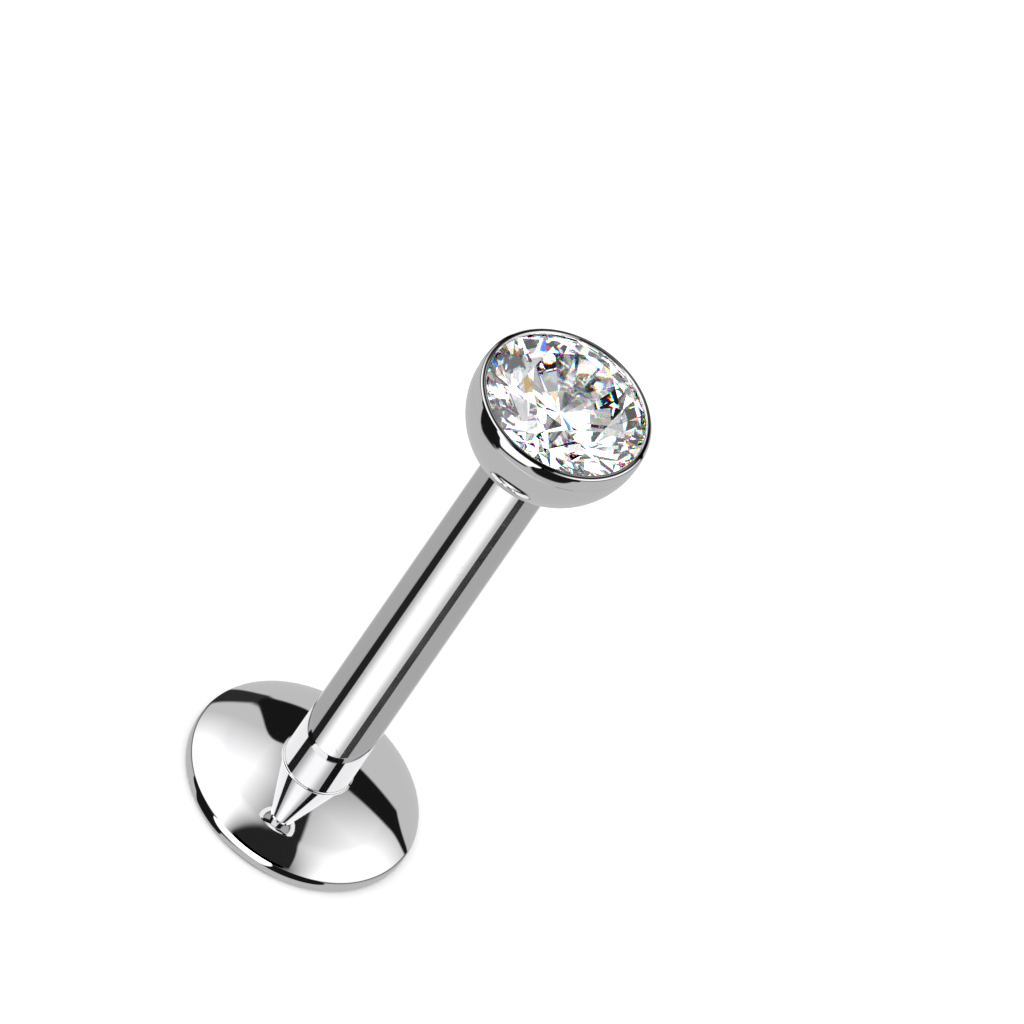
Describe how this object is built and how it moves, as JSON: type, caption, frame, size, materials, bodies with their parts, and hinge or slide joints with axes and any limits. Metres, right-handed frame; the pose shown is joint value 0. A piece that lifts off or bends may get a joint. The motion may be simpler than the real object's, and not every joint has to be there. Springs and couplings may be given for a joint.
{
  "type": "labret stud",
  "caption": "Body jewel with a domed disc back, a straight post and a screw-in half-ball cup that holds a round brilliant stone.",
  "frame": {"origin": "centre of the disc's flat back", "axes": "+Z along the post, from the disc to the stone"},
  "size_m": [0.004, 0.004, 0.0112],
  "materials": {
    "polished_steel": "mirror polished surgical steel",
    "cup_steel": "mirror polished surgical steel, satin on the thread",
    "pin_steel": "turned surgical steel, fine satin",
    "clear_stone": "clear cubic zirconia, polished facets"
  },
  "bodies": {
    "post": {"disc_post": "polished_steel"},
    "guide": {"guide_pin": "pin_steel"},
    "head": {"bezel_cup": "cup_steel", "stone": "clear_stone"}
  },
  "joints": [
    {"name": "head_lift", "type": "slide", "parent": "post", "child": "guide", "axis": [0, 0, 1], "range_m": [0, 0.0028]},
    {"name": "head_turn", "type": "hinge", "parent": "guide", "child": "head", "pos_m": [0, 0, 0.0078], "axis": [0, 0, 1], "range_deg": [0, 5040]}
  ],
  "couplings": [
    {"joint": "head_turn", "follows": "head_lift", "rad_per_m": 31416}
  ]
}
